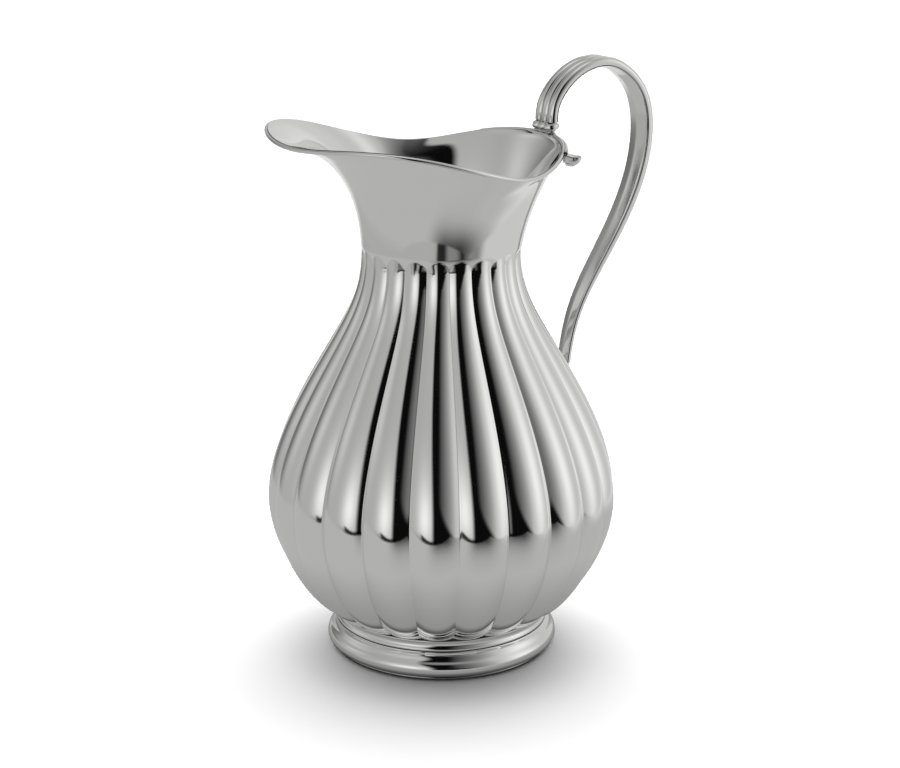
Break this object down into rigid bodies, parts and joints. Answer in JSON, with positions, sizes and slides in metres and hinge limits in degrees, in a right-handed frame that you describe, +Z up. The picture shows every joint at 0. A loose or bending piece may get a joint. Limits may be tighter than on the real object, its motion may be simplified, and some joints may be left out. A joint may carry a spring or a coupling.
{
  "type": "water pitcher",
  "caption": "Silver water pitcher with a lobed pear-shaped belly, plain flaring neck, broad pouring lip, reeded loop handle and moulded foot.",
  "frame": {"origin": "middle of the whole object's footprint box, on the plane the foot stands on", "axes": "+Z up along the body's axis; -X towards the spout and +X towards the handle; +Y to the far side when the spout is on the left"},
  "size_m": [0.1832, 0.1536, 0.258],
  "materials": {
    "body_silver": "mirror-polished silver sheet with fine hand-polishing marks",
    "mount_silver": "polished cast and drawn silver, slightly darker in the creases",
    "foot_silver": "polished turned silver with light wear at the base",
    "handle_silver": "polished silver strap, darker in the grooves between the reeds"
  },
  "bodies": {
    "root": {"belly": "body_silver", "neck_and_lip": "body_silver", "rim_wire": "mount_silver", "foot_cove": "foot_silver", "foot_apron": "foot_silver", "foot_base_wire": "foot_silver", "handle_reeded_strap": "handle_silver", "handle_inner_strap": "handle_silver", "handle_root_band": "mount_silver", "handle_heel": "mount_silver", "rim_arm_left": "mount_silver", "rim_arm_right": "mount_silver", "scroll_leaf_left": "mount_silver", "scroll_leaf_right": "mount_silver"}
  },
  "joints": []
}
